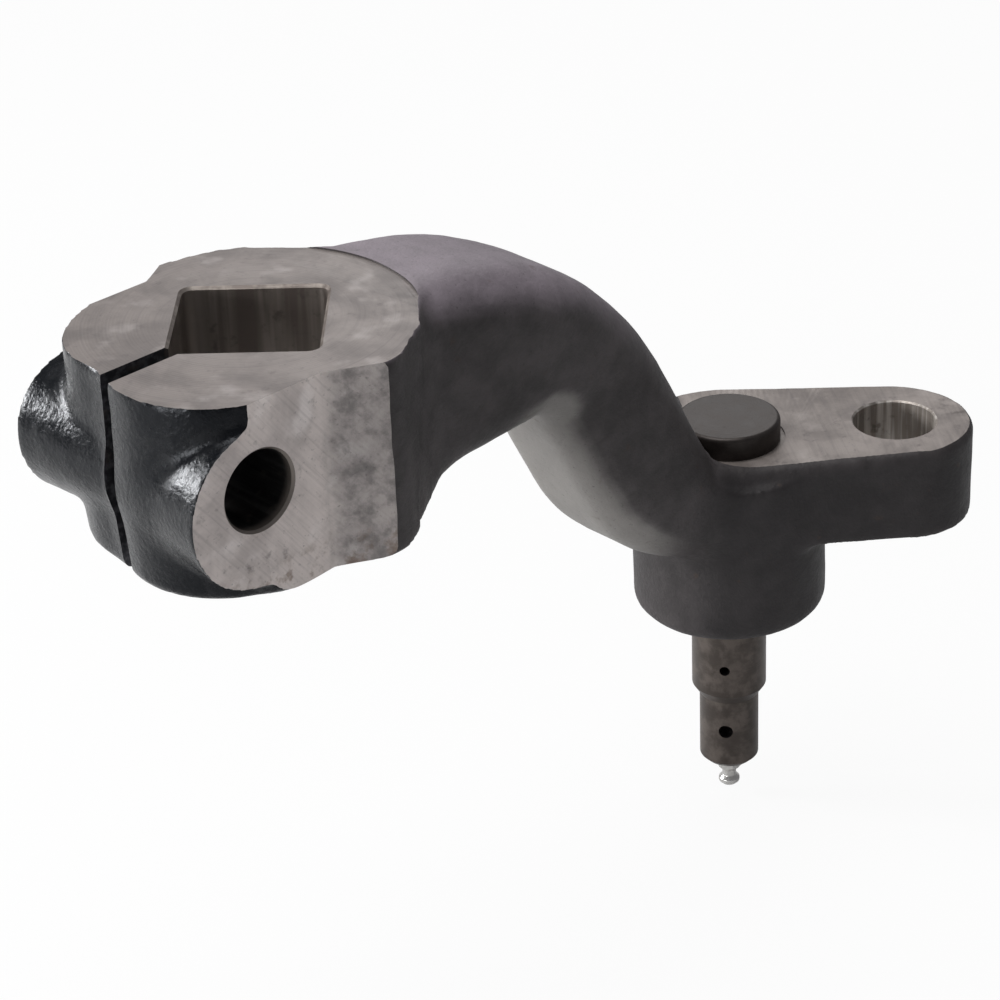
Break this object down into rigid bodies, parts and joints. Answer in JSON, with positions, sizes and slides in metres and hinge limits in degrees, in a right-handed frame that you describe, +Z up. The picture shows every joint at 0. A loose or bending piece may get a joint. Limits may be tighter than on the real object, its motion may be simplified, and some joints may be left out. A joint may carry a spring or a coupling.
{
  "type": "steering arm",
  "caption": "Forged steering arm with a split clamp round a square socket, a dropping neck, and a flat pad with a tie rod hole and a headed pivot pin.",
  "frame": {"origin": "on the square socket's axis, at the clamp's top face", "axes": "+X runs from the slit past the socket along the neck to the pivot pin, +Y to the far side from the tie rod hole, +Z up along the socket and the pin"},
  "size_m": [0.2959, 0.0959, 0.2287],
  "materials": {
    "forged_steel": "as forged, dark and slightly oily, with machined faces left bright",
    "pin_steel": "turned, darkened",
    "plated_steel": "bright zinc plated",
    "ball_steel": "polished",
    "spring_steel": "drawn wire"
  },
  "bodies": {
    "arm": {"arm_forging": "forged_steel", "pivot_pin": "pin_steel", "nipple_body": "plated_steel", "nipple_spring": "spring_steel"},
    "ball": {"check_ball": "ball_steel"}
  },
  "joints": [
    {"name": "ball_lift", "type": "slide", "parent": "arm", "child": "ball", "axis": [0, 0, 1], "range_m": [0, 0.001], "stiffness_N_per_m": 300, "springref_m": -0.002, "deforming": ["nipple_spring"]}
  ]
}
